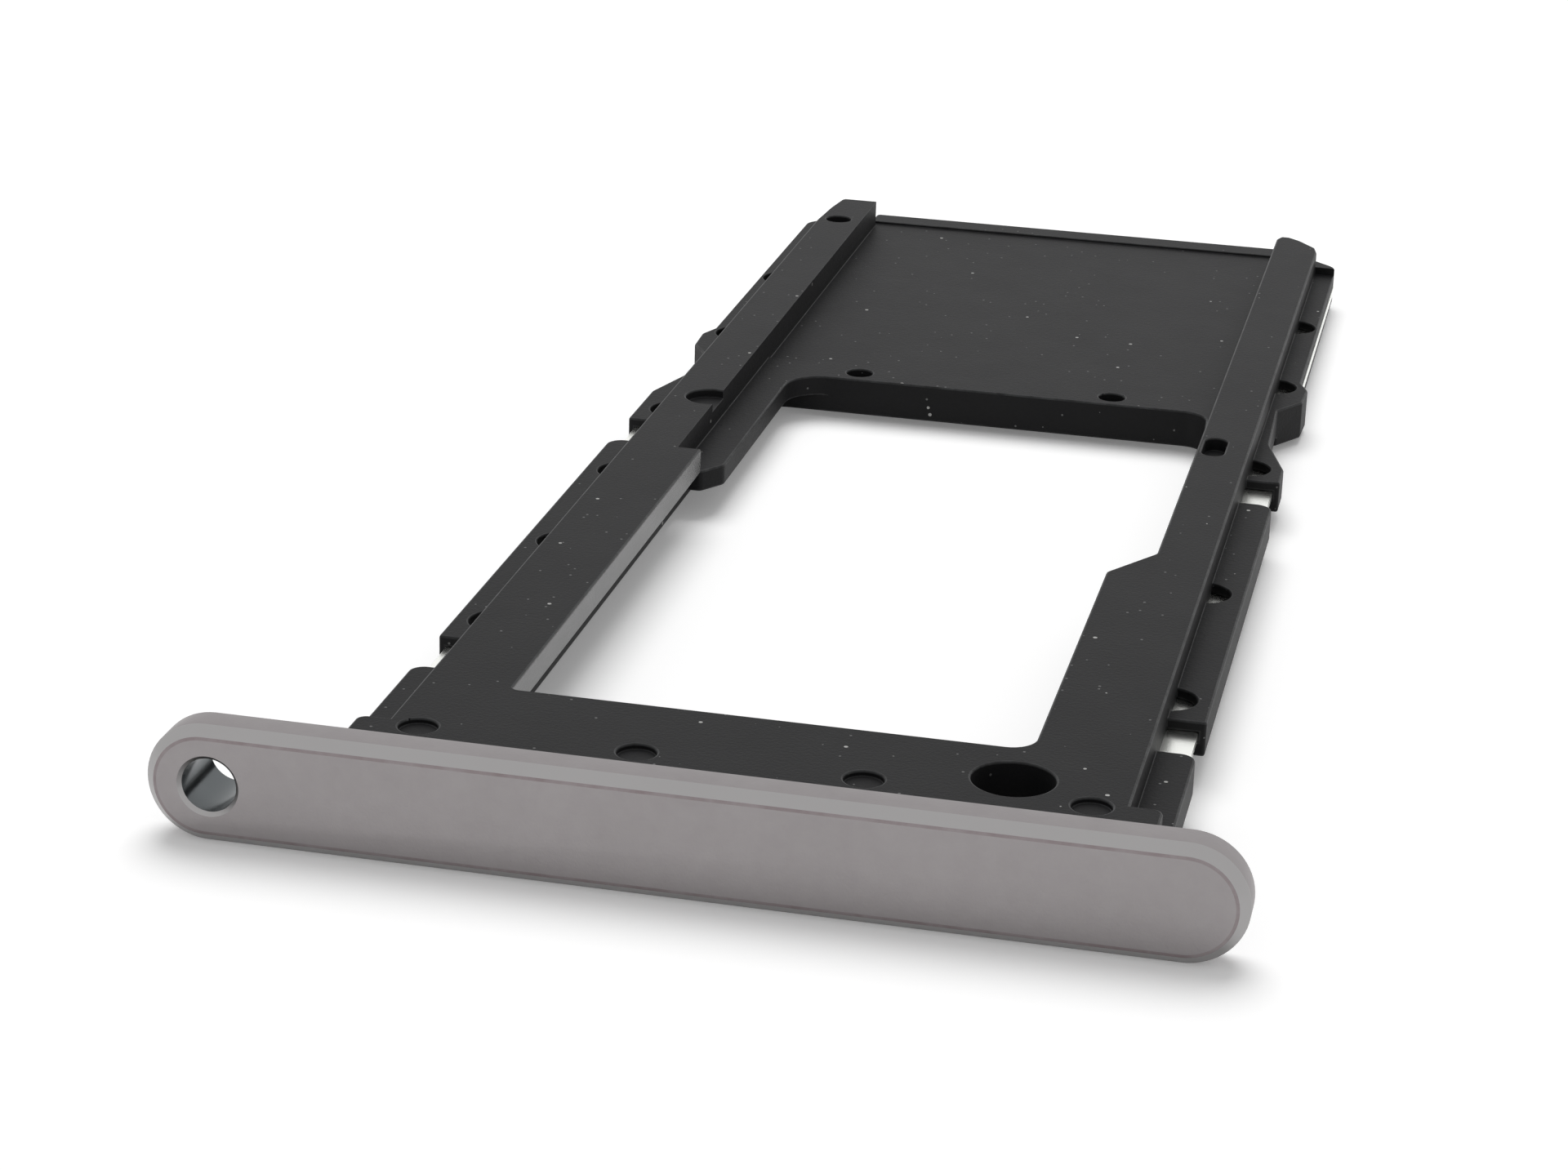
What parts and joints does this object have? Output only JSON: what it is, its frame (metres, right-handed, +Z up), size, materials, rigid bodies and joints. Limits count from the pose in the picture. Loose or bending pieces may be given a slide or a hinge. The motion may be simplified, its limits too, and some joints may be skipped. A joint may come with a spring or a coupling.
{
  "type": "memory card tray",
  "caption": "Flat memory card tray for a phone: a rounded metal face bar with an ejector pin hole, on a dark plastic frame with a card seat, an open centre and stepped side ledges.",
  "frame": {"origin": "on the plane of the face bar's lowest edge, under the middle of the overall length and of the face bar's length", "axes": "+Y from the face bar to the rear lip, +X to the right seen from the face bar, +Z up out of the card seat"},
  "size_m": [0.0196, 0.0414, 0.0022],
  "materials": {
    "bar_metal": "fine satin grey with a slight rose tint and a brighter cut bevel",
    "carrier_plastic": "fine matt moulded texture",
    "insert_steel": "bright rolled sheet"
  },
  "bodies": {
    "root": {"face_bar": "bar_metal", "carrier": "carrier_plastic", "steel_insert": "insert_steel"}
  },
  "joints": []
}
